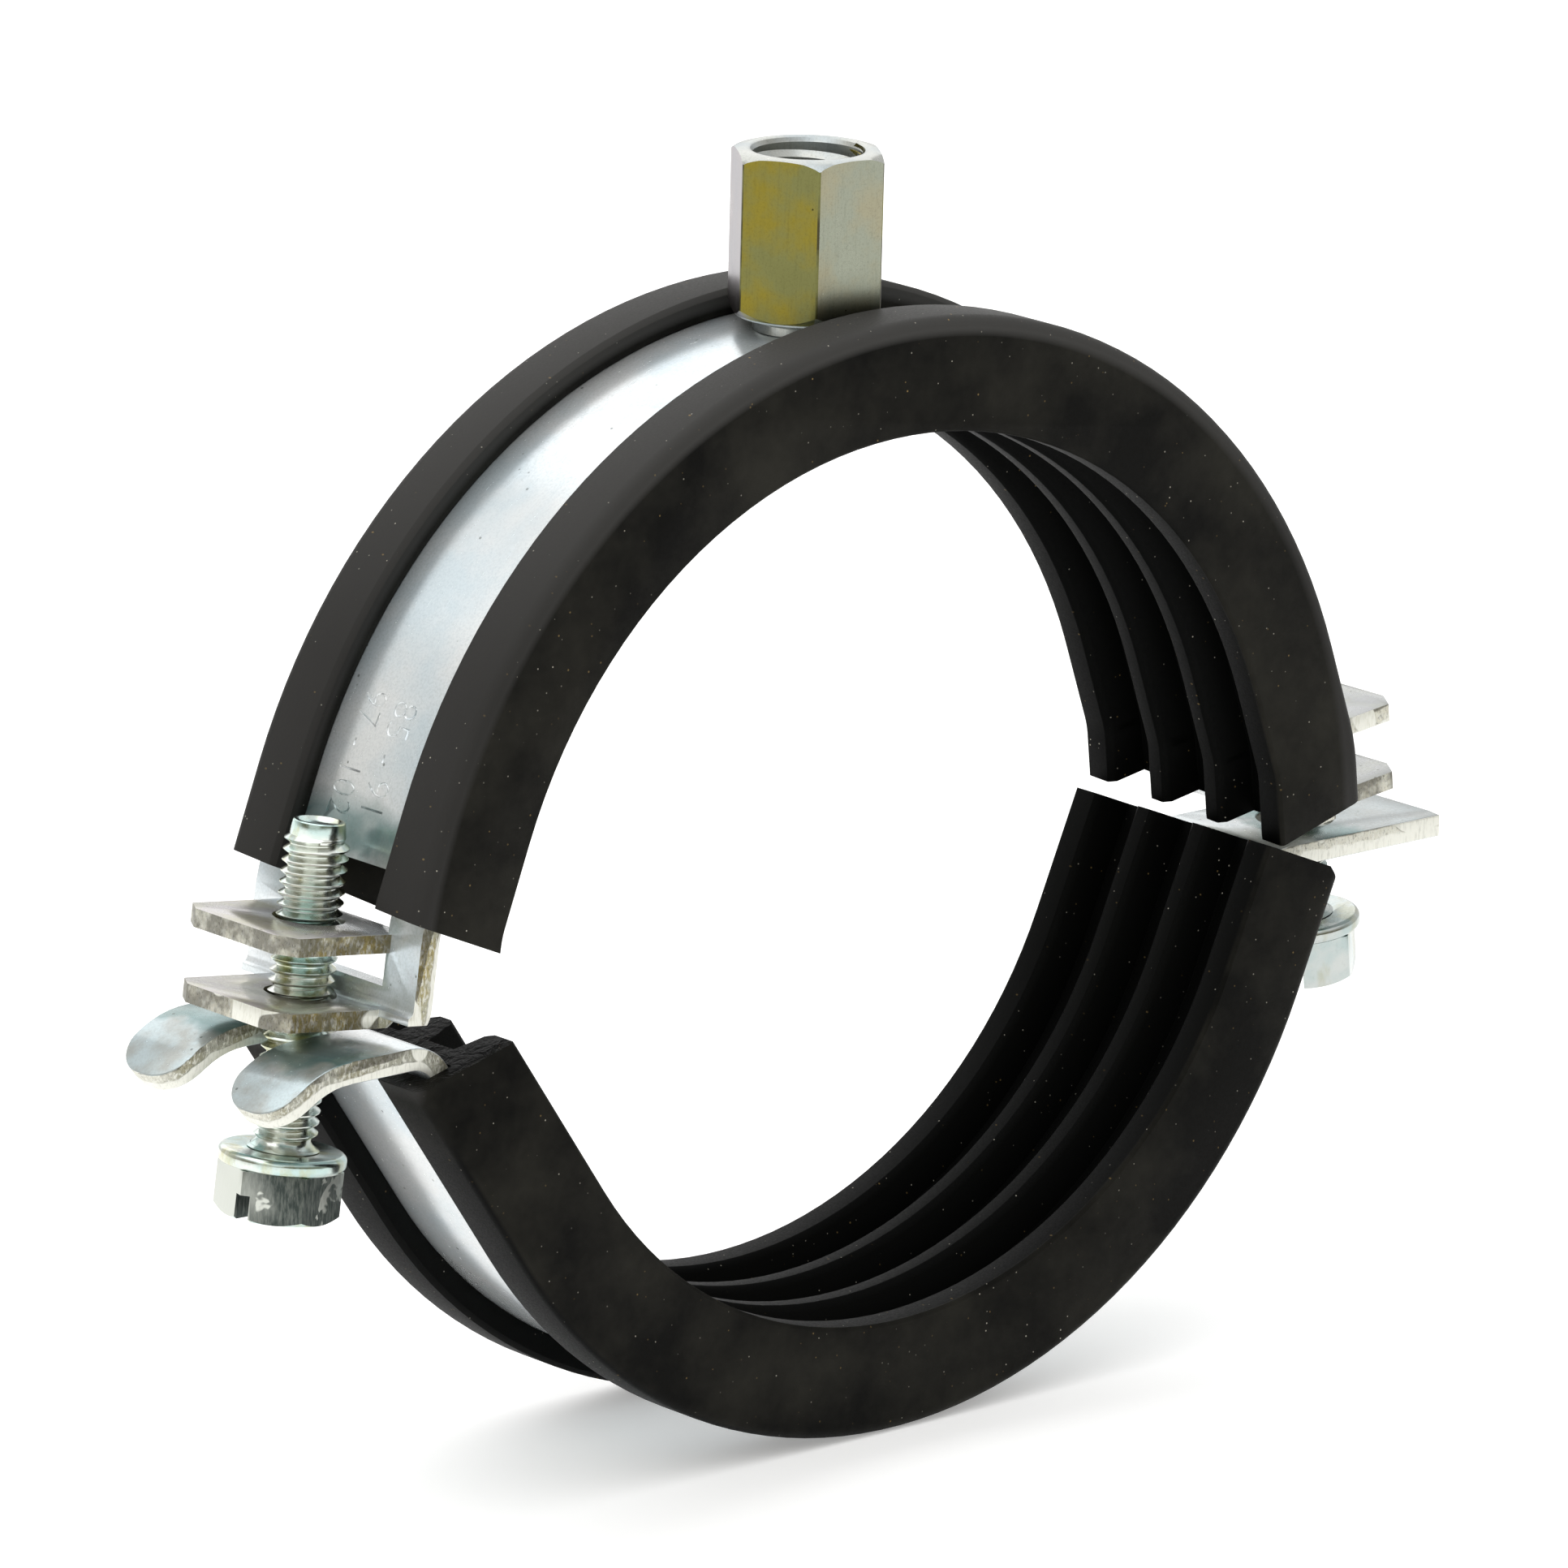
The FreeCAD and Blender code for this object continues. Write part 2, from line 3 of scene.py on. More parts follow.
import bmesh
import bpy
from mathutils import Matrix, Quaternion, Vector
from mathutils.bvhtree import BVHTree


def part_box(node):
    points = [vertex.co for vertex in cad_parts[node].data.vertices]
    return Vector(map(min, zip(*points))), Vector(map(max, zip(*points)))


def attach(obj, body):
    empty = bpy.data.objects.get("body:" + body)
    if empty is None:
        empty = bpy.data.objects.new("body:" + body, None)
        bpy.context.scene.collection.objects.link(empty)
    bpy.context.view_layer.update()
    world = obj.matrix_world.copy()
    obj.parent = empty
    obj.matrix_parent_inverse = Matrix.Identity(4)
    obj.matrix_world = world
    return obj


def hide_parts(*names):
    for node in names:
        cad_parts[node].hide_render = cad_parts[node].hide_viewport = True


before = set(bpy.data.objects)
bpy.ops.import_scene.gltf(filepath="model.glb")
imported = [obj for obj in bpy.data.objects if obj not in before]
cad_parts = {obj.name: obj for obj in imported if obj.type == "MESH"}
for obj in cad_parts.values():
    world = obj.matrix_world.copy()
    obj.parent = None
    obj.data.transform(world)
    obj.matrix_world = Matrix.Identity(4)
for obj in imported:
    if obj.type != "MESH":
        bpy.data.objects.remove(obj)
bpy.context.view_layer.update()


# Upper strap: a strip of zinc plated steel sheet over the top of the pipe, its ends
# bent down and out into the screw ears. It is sheared, pierced and bent in a press,
# then plated, so its faces are satin smooth and its sheared edges stay rough.
mm = 0.001
strap_thick = 2.1 * mm
strap_mid_r = 54.6 * mm          # middle of the metal in the round of the upper strap
plating_round = 0.14 * mm        # how far shearing and plating round an edge
film_drift = 9 * mm              # how far the borders of the colour fields wander
bend_soft = 0.9 * mm             # half of the step at a border of the teal band: teal film and painted shade

face_pale = (0.82, 0.84, 0.845, 1)
face_blue = (0.66, 0.745, 0.79, 1)
# teal film, and painted shade where the strap bends
face_teal_shade = (0.08, 0.20, 0.195, 1)
face_cream = (0.47, 0.455, 0.37, 1)
face_lilac = (0.48, 0.455, 0.465, 1)
face_far = (0.27, 0.30, 0.30, 1)      # greyer on the right-hand ears
face_scuff = (0.20, 0.21, 0.20, 1)
edge_gold = (0.42, 0.34, 0.12, 1)
edge_olive = (0.46, 0.45, 0.33, 1)
edge_silver = (0.80, 0.80, 0.73, 1)
# paler torn edge, partly painted light on the faces that look along X
edge_pale_lit = (0.78, 0.77, 0.68, 1)
edge_dark = (0.030, 0.025, 0.012, 1)


def new_finish(name, metallic, roughness):
    """A material with its shader, ready for its pattern nodes."""
    material = bpy.data.materials.new(name)
    material.use_nodes = True
    tree = material.node_tree
    shader = tree.nodes["Principled BSDF"]
    shader.inputs["Metallic"].default_value = metallic
    shader.inputs["Roughness"].default_value = roughness
    return material, tree, shader


def feed(tree, socket, value):
    """Links a socket, or sets it to a plain value."""
    if isinstance(value, bpy.types.NodeSocket):
        tree.links.new(value, socket)
    else:
        socket.default_value = value


def here(tree):
    """Object coordinates, the same as the frame's own metres."""
    return tree.nodes.new("ShaderNodeTexCoord").outputs["Object"]


def turned_to(tree):
    """Which way the surface looks, in the piece's own directions."""
    return tree.nodes.new("ShaderNodeTexCoord").outputs["Normal"]


def mapped(tree, vector, scale=(1, 1, 1), turn=(0, 0, 0), shift=(0, 0, 0)):
    """The same coordinates stretched, turned or shifted."""
    node = tree.nodes.new("ShaderNodeMapping")
    feed(tree, node.inputs["Vector"], vector)
    node.inputs["Scale"].default_value = scale
    node.inputs["Rotation"].default_value = turn
    node.inputs["Location"].default_value = shift
    return node.outputs["Vector"]


def noise(tree, vector, scale, detail=4.0, rough=0.55, bend=0.0):
    """Cloudy noise from 0 to 1."""
    node = tree.nodes.new("ShaderNodeTexNoise")
    feed(tree, node.inputs["Vector"], vector)
    node.inputs["Scale"].default_value = scale
    node.inputs["Detail"].default_value = detail
    node.inputs["Roughness"].default_value = rough
    node.inputs["Distortion"].default_value = bend
    return node.outputs["Fac"]


def window(tree, value, low, high, out_low=0.0, out_high=1.0):
    """Maps low..high of a value to out_low..out_high, held at both ends."""
    node = tree.nodes.new("ShaderNodeMapRange")
    feed(tree, node.inputs["Value"], value)
    node.inputs["From Min"].default_value = low
    node.inputs["From Max"].default_value = high
    node.inputs["To Min"].default_value = out_low
    node.inputs["To Max"].default_value = out_high
    return node.outputs["Result"]


def calc(tree, step, a, b=0.0):
    """One step of arithmetic on sockets or plain numbers."""
    node = tree.nodes.new("ShaderNodeMath")
    node.operation = step
    feed(tree, node.inputs[0], a)
    feed(tree, node.inputs[1], b)
    return node.outputs["Value"]


def tint(tree, amount, a, b):
    """Colour a turning to colour b by an amount from 0 to 1."""
    node = tree.nodes.new("ShaderNodeMix")
    node.data_type = "RGBA"
    feed(tree, node.inputs[0], amount)
    feed(tree, node.inputs[6], a)
    feed(tree, node.inputs[7], b)
    return node.outputs[2]


def bump(tree, height, strength, depth, under=None):
    """Relief from a height, on top of another relief where one is given."""
    node = tree.nodes.new("ShaderNodeBump")
    node.inputs["Strength"].default_value = strength
    node.inputs["Distance"].default_value = depth
    feed(tree, node.inputs["Height"], height)
    if under is not None:
        feed(tree, node.inputs["Normal"], under)
    return node.outputs["Normal"]


def axis_of(tree, vector, name):
    """One coordinate of a vector."""
    node = tree.nodes.new("ShaderNodeSeparateXYZ")
    feed(tree, node.inputs["Vector"], vector)
    return node.outputs[name]


def specks(tree, vector, scale, size, share):
    """Small round specks, one in some of the cells of a scattered pattern."""
    node = tree.nodes.new("ShaderNodeTexVoronoi")
    feed(tree, node.inputs["Vector"], vector)
    node.inputs["Scale"].default_value = scale
    pick = axis_of(tree, node.outputs["Color"], "X")
    dot = window(tree, node.outputs["Distance"], size * 0.6, size, 1, 0)
    return calc(tree, "MULTIPLY", dot, calc(tree, "LESS_THAN", pick, share))


def band(tree, value, low, high, soft):
    """One between low and high, and a soft step down to nothing outside them."""
    up = window(tree, value, low - soft, low + soft)
    down = window(tree, value, high - soft, high + soft, 1, 0)
    return calc(tree, "MULTIPLY", up, down)


def along_the_strap(tree, radius):
    """Coordinates that follow the strap: along it, across it, and out from the centre."""
    place = here(tree)
    x = axis_of(tree, place, "X")
    z = axis_of(tree, place, "Z")
    angle = calc(tree, "ARCTAN2", z, calc(tree, "MULTIPLY", x, -1))
    out = calc(tree, "SQRT", calc(tree, "ADD", calc(tree, "MULTIPLY", x, x), calc(tree, "MULTIPLY", z, z)))
    node = tree.nodes.new("ShaderNodeCombineXYZ")
    feed(tree, node.inputs["X"], calc(tree, "MULTIPLY", angle, radius))
    feed(tree, node.inputs["Y"], axis_of(tree, place, "Y"))
    feed(tree, node.inputs["Z"], out)
    return node.outputs["Vector"]


def plated_face(name, radius, ear_from, ear_tones, teal_low, teal_high, teal_by):
    """Satin zinc: pale and bluish, teal film and painted shade at the bends, and of other tones on the ears.
    """
    material, tree, shader = new_finish(name, 0.6, 0.3)
    place = here(tree)
    follow = along_the_strap(tree, radius)
    cloud = noise(tree, place, 85, 4, 0.6)
    grain = noise(tree, place, 4200, 3, 0.6)
    colour = tint(tree, window(tree, cloud, 0.40, 0.66), face_pale, face_blue)
    drift = calc(tree, "MULTIPLY", calc(tree, "SUBTRACT", cloud, 0.5), film_drift)
    reach = calc(tree, "ADD", calc(tree, "ABSOLUTE", axis_of(tree, place, "X")), drift)
    ear = window(tree, reach, ear_from, ear_from + 2 * mm)
    warm = tint(tree, window(tree, noise(tree, place, 260, 4, 0.6), 0.40, 0.62), *ear_tones)
    colour = tint(tree, ear, colour, warm)
    far = calc(tree, "MULTIPLY", ear, window(tree, axis_of(tree, place, "X"), 0, 1 * mm, 0, 0.6))
    colour = tint(tree, far, colour, face_far)
    # the teal band at the bends: partly the film, partly painted shade
    level = calc(tree, "ADD", axis_of(tree, place, "Z") if teal_by == "Z" else reach, drift)
    teal = calc(tree, "MULTIPLY", band(tree, level, teal_low, teal_high, bend_soft),
                window(tree, cloud, 0.35, 0.6, 0.5, 1.0))
    colour = tint(tree, teal, colour, face_teal_shade)
    colour = tint(tree, window(tree, grain, 0.42, 0.72, 0, 0.22), colour, face_scuff)
    scuff = noise(tree, mapped(tree, follow, (1, 0.45, 1)), 1900, 3, 0.6, 0.6)
    worn = calc(tree, "MULTIPLY", window(tree, scuff, 0.66, 0.74),
                window(tree, noise(tree, place, 210, 2), 0.52, 0.62))
    colour = tint(tree, calc(tree, "MULTIPLY", worn, 0.14), colour, face_scuff)
    dirt = specks(tree, place, 620, 0.11, 0.30)
    colour = tint(tree, calc(tree, "MULTIPLY", dirt, 0.6), colour, edge_dark)
    feed(tree, shader.inputs["Base Color"], colour)
    scratch = noise(tree, mapped(tree, follow, (0.10, 1, 1)), 2600, 3, 0.5)
    rough = calc(tree, "ADD", window(tree, grain, 0.3, 0.7, 0.17, 0.26),
                 window(tree, scratch, 0.60, 0.72, 0, 0.05))
    feed(tree, shader.inputs["Roughness"], rough)
    wave = bump(tree, noise(tree, place, 150, 2, 0.5), 0.12, 0.05 * mm)
    height = calc(tree, "ADD", grain, calc(tree, "MULTIPLY", scratch, 0.2))
    feed(tree, shader.inputs["Normal"], bump(tree, height, 0.25, 0.012 * mm, wave))
    return material


def sheared_edge(name, smooth_from, smooth_to, gold, olive):
    """Edge left by the shear: a burnished part and a torn one with gold film in it.

    The torn part is paler on the right-hand ears, and painted paler on the faces that look along X: painted
    light.
    """
    material, tree, shader = new_finish(name, 0.4, 0.4)
    place = here(tree)
    depth = tree.nodes.new("ShaderNodeAttribute")
    depth.attribute_name = "through"
    wander = noise(tree, place, 420, 3, 0.6)
    level = calc(tree, "ADD", depth.outputs["Fac"], window(tree, wander, 0.25, 0.75, -0.10, 0.10))
    torn = window(tree, level, smooth_from, smooth_to)
    wiped = window(tree, noise(tree, place, 170, 1, 0.4), 0.640, 0.652)
    torn = calc(tree, "MULTIPLY", torn, calc(tree, "SUBTRACT", 1.0, wiped))
    grit = noise(tree, mapped(tree, place, (1, 1, 0.55)), 5200, 4, 0.7)
    lumps = noise(tree, mapped(tree, place, (1, 1, 0.45)), 3000, 3, 0.6, 0.5)
    streak = noise(tree, mapped(tree, place, (1, 1, 0.2)), 5200, 2, 0.5)
    film = window(tree, noise(tree, place, 240, 3, 0.6), 0.42, 0.60)
    smooth = tint(tree, window(tree, streak, 0.5, 0.8, 0, 0.5), edge_silver, olive)
    # faces that look along X are painted paler: painted light
    lit_side_on = window(tree, calc(tree, "ABSOLUTE", axis_of(tree, turned_to(tree), "X")), 0.50, 0.85)
    pale = calc(tree, "MAXIMUM", lit_side_on, window(tree, axis_of(tree, place, "X"), 0, 1 * mm))
    rough = tint(tree, film, gold, olive)
    rough = tint(tree, calc(tree, "MULTIPLY", pale, 0.85), rough, edge_pale_lit)
    rough = tint(tree, window(tree, lumps, 0.47, 0.62, 0, 0.85), rough, edge_silver)
    rough = tint(tree, window(tree, grit, 0.54, 0.66, 0, 0.6), rough, edge_dark)
    rim = window(tree, calc(tree, "ABSOLUTE", calc(tree, "SUBTRACT", level, 0.5)), 0.40, 0.50, 0, 0.7)
    colour = tint(tree, torn, smooth, tint(tree, rim, rough, edge_dark))
    feed(tree, shader.inputs["Base Color"], colour)
    feed(tree, shader.inputs["Roughness"], window(tree, torn, 0, 1, 0.34, 0.5))
    fine = bump(tree, streak, 0.3, 0.02 * mm)
    height = calc(tree, "MULTIPLY", calc(tree, "ADD", grit, lumps), torn)
    feed(tree, shader.inputs["Normal"], bump(tree, height, 0.8, 0.10 * mm, fine))
    return material


def merged_copy(node):
    """A copy of a CAD piece as a bmesh, its triangles joined into clean faces."""
    bm = bmesh.new()
    bm.from_mesh(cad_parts[node].data)
    bmesh.ops.remove_doubles(bm, verts=bm.verts, dist=0.002 * mm)
    bmesh.ops.dissolve_limit(bm, angle_limit=math.radians(0.4), verts=bm.verts, edges=bm.edges)
    return bm


def rounded_edges(bm, width, steps, sharper_than=30, material=-1, only=None):
    """Rounds every edge that turns more sharply than an angle."""
    turn = math.radians(sharper_than)
    sharp = [e for e in bm.edges if len(e.link_faces) == 2 and e.calc_face_angle(0) > turn]
    if only:
        sharp = [e for e in sharp if only(e)]
    bmesh.ops.bevel(bm, geom=sharp, offset=width, offset_type="OFFSET", segments=steps,
                    profile=0.5, affect="EDGES", clamp_overlap=True, material=material)


def mark_sides(bm):
    """Gives sheared faces material 1, and every corner how far it is through the sheet."""
    tree = BVHTree.FromBMesh(bm)
    through = bm.verts.layers.float.new("through")
    near_edge = 0.12 * mm            # the test ray starts this far inside the longest side
    same_side = math.radians(30)     # faces that meet more gently lie on one side of the sheet
    bm.faces.ensure_lookup_table()
    for face in bm.faces:
        side = max(face.loops, key=lambda l: l.edge.calc_length())
        run = side.link_loop_next.vert.co - side.vert.co
        start = side.vert.co + run / 2 + face.normal.cross(run).normalized() * near_edge
        hit = tree.ray_cast(start - face.normal * 0.01 * mm, -face.normal)
        thin = hit[3] is not None and hit[3] < strap_thick * 1.25
        face.material_index = 0 if thin else 1
    done = set()
    for first in bm.faces:
        if first.material_index or first in done:
            continue
        done.add(first)
        patch = [first]
        for face in patch:
            for edge in face.edges:
                if edge.calc_face_angle(0) >= same_side:
                    continue
                for other in edge.link_faces:
                    if other.material_index == 0 and other not in done:
                        done.add(other)
                        patch.append(other)
        widest = max(patch, key=lambda f: f.calc_area())
        centre = widest.calc_center_median()
        outward = centre.x * widest.normal.x + centre.z * widest.normal.z > 0
        for face in patch:
            for vert in face.verts:
                vert[through] = 1.0 if outward else 0.0
    return bm


def as_piece(bm, name, materials, smooth_to=35):
    """A finished object from a bmesh, smooth but for edges sharper than an angle."""
    mesh = bpy.data.meshes.new(name)
    bm.to_mesh(mesh)
    bm.free()
    for material in materials:
        mesh.materials.append(material)
    mesh.shade_smooth()
    mesh.set_sharp_from_angle(angle=math.radians(smooth_to))
    piece = bpy.data.objects.new(name, mesh)
    bpy.context.scene.collection.objects.link(piece)
    return piece


def cut_with(piece, tool, step):
    """Cuts a piece by a tool shape, or keeps what both share, and removes the tool."""
    cutter = piece.modifiers.new("cut", "BOOLEAN")
    cutter.operation = step
    cutter.solver = "MANIFOLD"
    cutter.object = tool
    done = bpy.data.meshes.new_from_object(piece.evaluated_get(bpy.context.evaluated_depsgraph_get()))
    piece.modifiers.clear()
    old = piece.data
    piece.data = done
    done.name = piece.name
    bpy.data.meshes.remove(old)
    bpy.data.objects.remove(tool)
    done.shade_smooth()
    done.set_sharp_from_angle(angle=math.radians(35))


def set_in_place(piece, body, slot, *stands_for):
    """The piece rides on its body and stands for CAD pieces, which it hides. The slot is not used."""
    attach(piece, body)
    if stands_for:
        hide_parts(*stands_for)


strap_outer_r = strap_mid_r + strap_thick / 2
round_slack = 0.04 * mm          # more than the round's flat facets lie inside it
digit_deep = 0.13 * mm
digit_tall = 3.0 * mm
number_rows = (                  # generic numbers, first height along the strap, length, place across
    ("97 - 102", 28.6 * mm, 11.6 * mm, 3.6 * mm),
    ("85 - 91", 28.4 * mm, 10.2 * mm, -0.8 * mm),
)


def round_shading(piece, radius):
    """Shades the round outside as a true cylinder, whatever faces the cuts left there."""
    mesh = piece.data
    normals = [corner.vector.copy() for corner in mesh.corner_normals]
    for face in mesh.polygons:
        for corner in face.loop_indices:
            spot = mesh.vertices[mesh.loops[corner].vertex_index].co
            out = Vector((spot.x, 0, spot.z))
            if abs(out.length - radius) < round_slack and face.normal.dot(out.normalized()) > 0.98:
                normals[corner] = out.normalized()
    mesh.normals_split_custom_set(normals)


def stamped_row(words, start, long, across):
    """A row of thin numbers as a solid, bent round the outside of the strap."""
    text = bpy.data.curves.new("numbers", "FONT")
    text.body = words
    text.size = 1.0
    text.offset = -0.021
    text.resolution_u = 3
    text.extrude = 0.5
    holder = bpy.data.objects.new("numbers", text)
    bpy.context.scene.collection.objects.link(holder)
    flat = bpy.data.meshes.new_from_object(holder.evaluated_get(bpy.context.evaluated_depsgraph_get()))
    bpy.data.objects.remove(holder)
    bm = bmesh.new()
    bm.from_mesh(flat)
    bpy.data.meshes.remove(flat)
    bmesh.ops.remove_doubles(bm, verts=bm.verts, dist=0.0005)
    low_x = min(v.co.x for v in bm.verts)
    wide = max(v.co.x for v in bm.verts) - low_x
    low_y = min(v.co.y for v in bm.verts)
    high = max(v.co.y for v in bm.verts) - low_y
    for vert in bm.verts:
        run = start - (vert.co.x - low_x) / wide * long
        side = across - ((vert.co.y - low_y) / high - 0.5) * digit_tall
        out = strap_outer_r + (0.3 * mm if vert.co.z > 0 else -digit_deep)
        turn = run / strap_outer_r
        vert.co = (-out * math.cos(turn), side, out * math.sin(turn))
    bmesh.ops.recalc_face_normals(bm, faces=bm.faces)
    return as_piece(bm, "number_row", [])


ear_begins = 57.5 * mm           # past this X a strap is an ear, with its own film
upper_face = plated_face("satin_zinc_upper", strap_mid_r, ear_begins, (face_cream, face_lilac),
                         13.0 * mm, 17.5 * mm, "Z")
upper_edge = sheared_edge("sheared_edge_upper", 0.16, 0.24, edge_gold, edge_olive)
bm = merged_copy("upper_band")
mark_sides(bm)
rounded_edges(bm, plating_round, 2)
upper_strap = as_piece(bm, "upper_strap", [upper_face, upper_edge])
for row in number_rows:
    cut_with(upper_strap, stamped_row(*row), "DIFFERENCE")
round_shading(upper_strap, strap_outer_r)
set_in_place(upper_strap, "upper_half", "strap_zinc", "upper_band")


# Connection nut: a hexagon steel nut, turned and threaded, welded upright on the crown
# and plated with the strap. The yellow and lilac of its flats are partly the passivation
# film and partly painted reflection, one colour to each way a flat faces.
nut_x = -1.8 * mm
nut_corner = 7.506 * mm          # half of the 13 mm across flats, out to a corner
nut_turn = -3.0                  # degrees, how far the nut was welded out of square
nut_top = 72.1 * mm
nut_foot = 56.65 * mm            # lower rim of the nut, above the crown of the strap
nut_weld_r = 4.7 * mm
nut_wall_r = 5.02 * mm           # the bore under the thread
nut_thread_root = 5.03 * mm
nut_thread_crest = 4.32 * mm
nut_pitch = 1.5 * mm
nut_turns = 7
nut_thread_deep = 11.9 * mm      # where the thread starts, below the top
nut_mouth = 0.45 * mm            # the thread stops this far below the top

nut_lilac = (0.216, 0.188, 0.200, 1)
nut_rose = (0.28, 0.265, 0.285, 1)
nut_gold = (0.225, 0.185, 0.030, 1)
nut_green = (0.19, 0.19, 0.07, 1)
nut_grey = (0.316, 0.335, 0.265, 1)
nut_sand = (0.37, 0.35, 0.245, 1)
nut_dark = (0.06, 0.055, 0.03, 1)
nut_silver = (0.47, 0.48, 0.45, 1)
nut_blue = (0.42, 0.46, 0.47, 1)


def flat_finish(name, colour, second, painted_foot_shade):
    """Drawn hexagon bar under zinc: fine lines along the bar, soft patches of colour, and painted shade
    toward the foot.
    """
    material, tree, shader = new_finish(name, 1.0, 0.3)
    place = here(tree)
    cloud = noise(tree, place, 190, 4, 0.6)
    drawn = noise(tree, mapped(tree, place, (1, 1, 0.08)), 4200, 3, 0.6)
    grain = noise(tree, place, 5200, 3, 0.6)
    base = tint(tree, window(tree, cloud, 0.40, 0.62), colour, second)
    base = tint(tree, window(tree, drawn, 0.5, 0.8, 0, 0.16), base, edge_dark)
    base = tint(tree, window(tree, grain, 0.5, 0.75, 0, 0.22), base, edge_dark)
    # painted shade: darker toward the foot of the nut, where it stands over the strap
    foot = window(tree, axis_of(tree, place, "Z"), nut_foot, nut_foot + 3.5 * mm, painted_foot_shade, 0)
    base = tint(tree, foot, base, edge_dark)
    base = tint(tree, specks(tree, place, 800, 0.09, 0.14), base, edge_dark)
    base = tint(tree, specks(tree, mapped(tree, place, shift=(3, 5, 7)), 760, 0.07, 0.10), base, edge_silver)
    feed(tree, shader.inputs["Base Color"], base)
    feed(tree, shader.inputs["Roughness"], window(tree, cloud, 0.3, 0.7, 0.26, 0.36))
    feed(tree, shader.inputs["Normal"], bump(tree, calc(tree, "ADD", drawn, grain), 0.25, 0.015 * mm))
    return material


def turned(bm, outline, steps):
    """A solid of revolution about Z from (radius, height) points, its ends on the axis."""
    verts = [bm.verts.new((r, 0, z)) for r, z in outline]
    edges = [bm.edges.new(pair) for pair in zip(verts, verts[1:])]
    bmesh.ops.spin(bm, geom=verts + edges, cent=(0, 0, 0), axis=(0, 0, 1), dvec=(0, 0, 0),
                   angle=2 * math.pi, steps=steps, use_merge=True, use_duplicate=False)
    bmesh.ops.remove_doubles(bm, verts=bm.verts, dist=0.0005 * mm)


def helix(bm, root, crest, pitch, low, turns, steps):
    """A screw thread: one ridge spun about Z while it climbs a pitch each turn.

    Its foot is buried in the wall or the core, and it runs out at both ends.
    """
    run_out = 0.6
    middle = 0.52
    buried = root + (root - crest) * 0.1
    shape = [(buried, 0.0), (root, 0.08), (crest, 0.46), (crest, 0.58), (root, 0.96), (buried, 1.0)]
    before = set(bm.verts)
    verts = [bm.verts.new((r, 0, low + h * pitch)) for r, h in shape]
    edges = [bm.edges.new(pair) for pair in zip(verts, verts[1:])]
    bmesh.ops.spin(bm, geom=verts + edges, cent=(0, 0, 0), axis=(0, 0, 1),
                   dvec=(0, 0, pitch / steps), angle=2 * math.pi * turns, steps=steps * turns,
                   use_merge=False, use_duplicate=False)
    for vert in bm.verts:
        far = math.hypot(vert.co.x, vert.co.y)
        done = (vert.co.z - low) / pitch - middle
        left = min(done, turns - done) / run_out
        if vert not in before and left < 1:
            vert.co.xy *= (buried + (far - buried) * max(left, 0)) / far


bm = bmesh.new()
bmesh.ops.create_cone(bm, cap_ends=True, segments=6, radius1=nut_corner, radius2=nut_corner,
                      depth=40 * mm, matrix=Matrix.Translation((0, 0, nut_top))
                      @ Matrix.Rotation(math.radians(nut_turn + 30), 4, "Z"))
corner = max(bm.verts, key=lambda v: v.co.x)
lean = math.degrees(math.atan2(corner.co.y, corner.co.x)) % 60 - nut_turn % 60
bmesh.ops.rotate(bm, verts=bm.verts, cent=(0, 0, 0), matrix=Matrix.Rotation(math.radians(-lean), 3, "Z"))
corner_and_neck_shade_finish, turned_finish = 3, 4
rounded_edges(bm, 0.13 * mm, 2, 40, corner_and_neck_shade_finish,
              lambda e: abs(e.verts[0].co.z - e.verts[1].co.z) > 1 * mm)
nut = as_piece(bm, "welded_nut", [flat_finish("nut_flat_gold", nut_gold, nut_green, 0.1),
                                  flat_finish("nut_flat_grey", nut_grey, nut_sand, 0.55),
                                  flat_finish("nut_flat_lilac", nut_lilac, nut_rose, 0.6),
                                  flat_finish("nut_corner_dark_neck_shade", nut_dark, nut_green, 0.2),
                                  flat_finish("nut_turned_silver", nut_silver, nut_blue, 0.0)])
weld_neck = [(0, nut_foot + 2 * mm), (nut_weld_r - 1 * mm, nut_foot - 1.3 * mm),
             (nut_weld_r, nut_foot - 1.3 * mm), (nut_weld_r, nut_foot - 0.5 * mm),
             (nut_weld_r + 0.25 * mm, nut_foot - 0.06 * mm)]
turned_foot = [(6.2 * mm, nut_foot), (6.32 * mm, nut_foot + 0.05 * mm),
               (6.42 * mm, nut_foot + 0.22 * mm), (7.0 * mm, nut_foot + 0.7 * mm),
               (7.65 * mm, nut_foot + 1.3 * mm)]
rounded_top = [(7.65 * mm, nut_top - 1.0 * mm), (7.3 * mm, nut_top - 0.58 * mm),
               (6.85 * mm, nut_top - 0.25 * mm), (6.3 * mm, nut_top - 0.09 * mm),
               (5.8 * mm, nut_top - 0.01 * mm), (5.5 * mm, nut_top - 0.01 * mm)]
bored_inside = [(5.25 * mm, nut_top - 0.12 * mm), (nut_wall_r, nut_top - 0.5 * mm),
                (nut_wall_r, nut_foot + 2.4 * mm), (0, nut_foot + 2 * mm)]
bm = bmesh.new()
turned(bm, weld_neck + turned_foot + rounded_top + bored_inside, 96)
bmesh.ops.recalc_face_normals(bm, faces=bm.faces)
cut_with(nut, as_piece(bm, "nut_blank", []), "INTERSECT")
bm = bmesh.new()
bm.from_mesh(nut.data)
